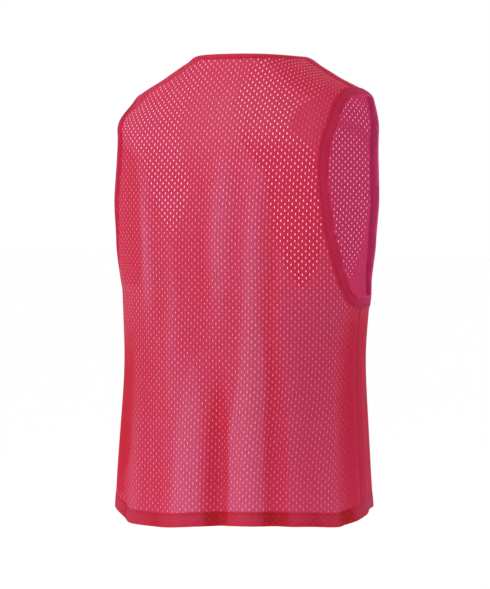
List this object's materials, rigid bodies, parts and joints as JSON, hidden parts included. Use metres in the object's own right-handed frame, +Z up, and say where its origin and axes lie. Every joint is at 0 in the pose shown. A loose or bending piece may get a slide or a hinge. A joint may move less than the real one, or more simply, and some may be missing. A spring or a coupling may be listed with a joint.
{
  "type": "training bib",
  "caption": "Sleeveless pull-over training bib of open mesh, filled out and hollow, with bound armholes and neck and a turned hem.",
  "frame": {"origin": "midway between the two neck points, where the shoulder seams meet the neck binding, which is where a wearer's shoulders or a hanger hold the bib", "axes": "+Z up, -Y to the front, +X to the wearer's left"},
  "size_m": [0.3925, 0.2773, 0.6882],
  "materials": {
    "mesh_cloth": "open warp-knit polyester mesh, soft sheen",
    "binding_cloth": "folded knit, stitched along both edges"
  },
  "bodies": {
    "root": {"back_panel": "mesh_cloth", "front_panel": "mesh_cloth", "neck_binding": "binding_cloth", "left_armhole_binding": "binding_cloth", "right_armhole_binding": "binding_cloth", "back_hem": "binding_cloth", "front_hem": "binding_cloth"}
  },
  "joints": []
}
